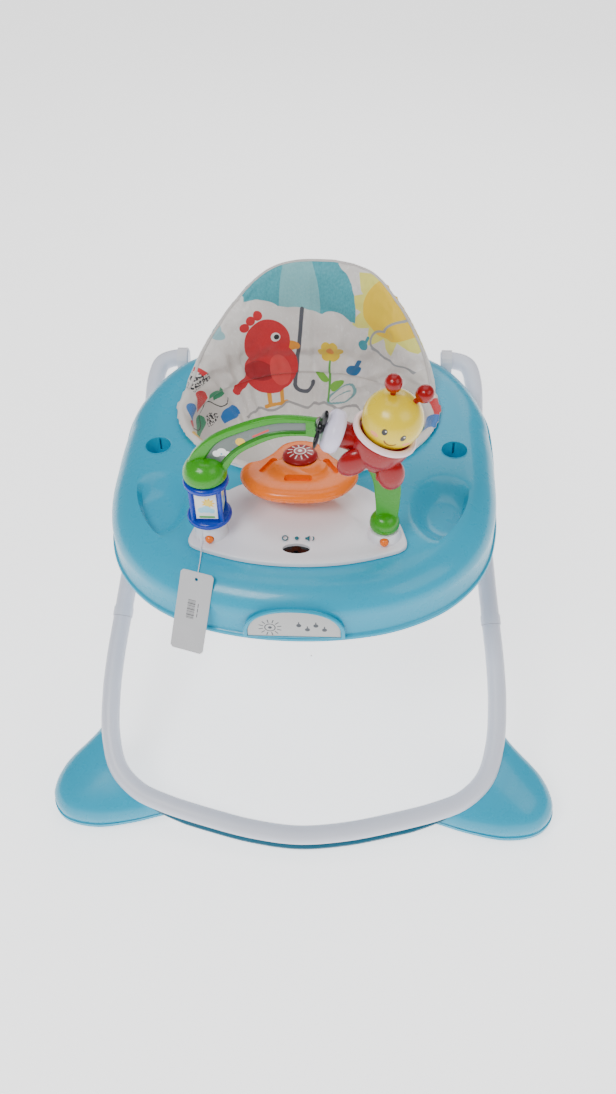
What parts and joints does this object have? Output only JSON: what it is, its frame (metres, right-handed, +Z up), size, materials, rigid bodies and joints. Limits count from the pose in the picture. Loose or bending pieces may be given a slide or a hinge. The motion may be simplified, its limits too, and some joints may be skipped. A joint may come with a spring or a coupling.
{
  "type": "baby walker",
  "caption": "Folding baby walker with a padded seat in an activity tray, a toy arch and steering wheel, crossed tube frames, front casters and rear wheels.",
  "frame": {"origin": "on the floor, under the middle of the footprint", "axes": "+Z up, +Y towards the seat back, +X to the right when the tray's front rim is looked at"},
  "size_m": [0.6812, 0.7062, 0.6752],
  "materials": {
    "aqua": "glossy",
    "white_plastic": "glossy",
    "grey_plastic": "matte",
    "fabric": "satin weave",
    "white_tube": "glossy powder coat",
    "steel": "plain",
    "teal_plastic": "satin",
    "grip_rubber": "matte",
    "circuit": "satin",
    "battery": "satin",
    "black_plastic": "glossy",
    "orange_plastic": "glossy",
    "red_plastic": "glossy",
    "green_plastic": "glossy",
    "blue_plastic": "glossy",
    "yellow_plastic": "glossy",
    "card": "matte"
  },
  "bodies": {
    "root": {"tray_shell": "aqua", "seat_ring": "white_plastic", "badge_plate": "white_plastic", "seat_back_board": "grey_plastic", "seat_back_pad": "fabric", "seat_bag": "fabric", "pivot_bracket_left": "white_plastic", "pivot_bracket_right": "white_plastic", "height_track_left": "aqua", "height_track_right": "aqua", "toy_panel": "white_plastic", "toy_base": "white_plastic", "battery_door": "white_plastic", "circuit_board": "circuit", "speaker": "black_plastic", "battery_1": "battery", "battery_2": "battery", "arch_socket_left": "white_plastic", "arch_socket_right": "white_plastic", "hang_tag": "card", "tag_thread": "card"},
    "front_frame": {"leg_tube_left": "white_tube", "leg_tube_right": "white_tube", "front_frame_tube": "white_tube", "front_grip_strip": "grip_rubber", "frame_rivet_left": "steel", "frame_rivet_right": "steel", "front_foot_left": "aqua", "front_foot_right": "aqua"},
    "rear_frame": {"rear_frame_tube": "white_tube", "slide_bar": "steel", "rear_foot_left": "aqua", "rear_foot_right": "aqua", "rear_axle_left": "steel", "rear_axle_right": "steel"},
    "caster_left": {"caster_fork_left": "teal_plastic", "caster_axle_left": "steel"},
    "caster_right": {"caster_fork_right": "teal_plastic", "caster_axle_right": "steel"},
    "caster_wheel_left": {"caster_wheel_left": "teal_plastic"},
    "caster_wheel_right": {"caster_wheel_right": "teal_plastic"},
    "rear_wheel_left": {"rear_wheel_left": "teal_plastic"},
    "rear_wheel_right": {"rear_wheel_right": "teal_plastic"},
    "steering": {"steering_column": "orange_plastic", "steering_wheel": "orange_plastic"},
    "horn": {"horn_button": "red_plastic"},
    "volume_switch": {"volume_switch": "black_plastic"},
    "release_left": {"release_button_left": "orange_plastic"},
    "release_right": {"release_button_right": "orange_plastic"},
    "height_latch": {"height_latch": "orange_plastic"},
    "toy_arch": {"toy_arch": "green_plastic", "arch_window": "grey_plastic", "plane_body": "red_plastic", "cockpit_rim": "white_plastic", "plane_nose": "white_plastic"},
    "spool": {"spool": "blue_plastic"},
    "propeller": {"propeller": "black_plastic"},
    "pilot": {"pilot_head": "yellow_plastic", "feeler_left": "red_plastic", "feeler_right": "red_plastic"}
  },
  "joints": [
    {"name": "frame_fold", "type": "hinge", "parent": "root", "child": "front_frame", "pos_m": [0, 0.25, 0.385], "axis": [-1, 0, 0], "range_deg": [0, 15.2], "deforming": ["seat_bag"]},
    {"name": "frame_scissor", "type": "hinge", "parent": "front_frame", "child": "rear_frame", "pos_m": [0, 0.0339, 0.2592], "axis": [1, 0, 0], "range_deg": [0, 34.3]},
    {"name": "caster_swivel_left", "type": "hinge", "parent": "front_frame", "child": "caster_left", "pos_m": [-0.29, -0.283, 0.055], "axis": [0, 0, 1], "continuous": true},
    {"name": "caster_swivel_right", "type": "hinge", "parent": "front_frame", "child": "caster_right", "pos_m": [0.29, -0.283, 0.055], "axis": [0, 0, 1], "continuous": true},
    {"name": "caster_spin_left", "type": "hinge", "parent": "caster_left", "child": "caster_wheel_left", "pos_m": [-0.29, -0.292, 0.02], "axis": [1, 0, 0], "continuous": true},
    {"name": "caster_spin_right", "type": "hinge", "parent": "caster_right", "child": "caster_wheel_right", "pos_m": [0.29, -0.292, 0.02], "axis": [1, 0, 0], "continuous": true},
    {"name": "rear_spin_left", "type": "hinge", "parent": "rear_frame", "child": "rear_wheel_left", "pos_m": [-0.242, 0.293, 0.024], "axis": [1, 0, 0], "continuous": true},
    {"name": "rear_spin_right", "type": "hinge", "parent": "rear_frame", "child": "rear_wheel_right", "pos_m": [0.242, 0.293, 0.024], "axis": [1, 0, 0], "continuous": true},
    {"name": "steering_turn", "type": "hinge", "parent": "root", "child": "steering", "pos_m": [0, -0.076, 0.44], "axis": [0, 0, 1], "range_deg": [-35, 35]},
    {"name": "horn_press", "type": "slide", "parent": "steering", "child": "horn", "axis": [0, -0.1045, -0.9945], "range_m": [0, 0.003], "stiffness_N_per_m": 400, "springref_m": -0.002},
    {"name": "volume_slide", "type": "slide", "parent": "root", "child": "volume_switch", "axis": [1, 0, 0], "range_m": [-0.006, 0.006]},
    {"name": "release_left_press", "type": "slide", "parent": "root", "child": "release_left", "axis": [0, 1, 0], "range_m": [0, 0.0025], "stiffness_N_per_m": 400, "springref_m": -0.002},
    {"name": "release_right_press", "type": "slide", "parent": "root", "child": "release_right", "axis": [0, 1, 0], "range_m": [0, 0.0025], "stiffness_N_per_m": 400, "springref_m": -0.002},
    {"name": "height_latch_pull", "type": "slide", "parent": "root", "child": "height_latch", "axis": [0, 1, 0], "range_m": [0, 0.008], "stiffness_N_per_m": 400, "springref_m": -0.004},
    {"name": "arch_lift", "type": "slide", "parent": "root", "child": "toy_arch", "axis": [0, 0, 1], "range_m": [0, 0.03]},
    {"name": "spool_spin", "type": "hinge", "parent": "toy_arch", "child": "spool", "pos_m": [-0.104, -0.155, 0.474], "axis": [0, 0, 1], "continuous": true},
    {"name": "propeller_spin", "type": "hinge", "parent": "toy_arch", "child": "propeller", "pos_m": [0.03453, -0.184, 0.60262], "axis": [-0.9272, 0, 0.3746], "continuous": true},
    {"name": "pilot_wobble", "type": "hinge", "parent": "toy_arch", "child": "pilot", "pos_m": [0.10774, -0.184, 0.61511], "axis": [0, 1, 0], "range_deg": [-12, 12]}
  ],
  "couplings": [
    {"joint": "frame_scissor", "follows": "frame_fold", "ratio": 2.251}
  ]
}
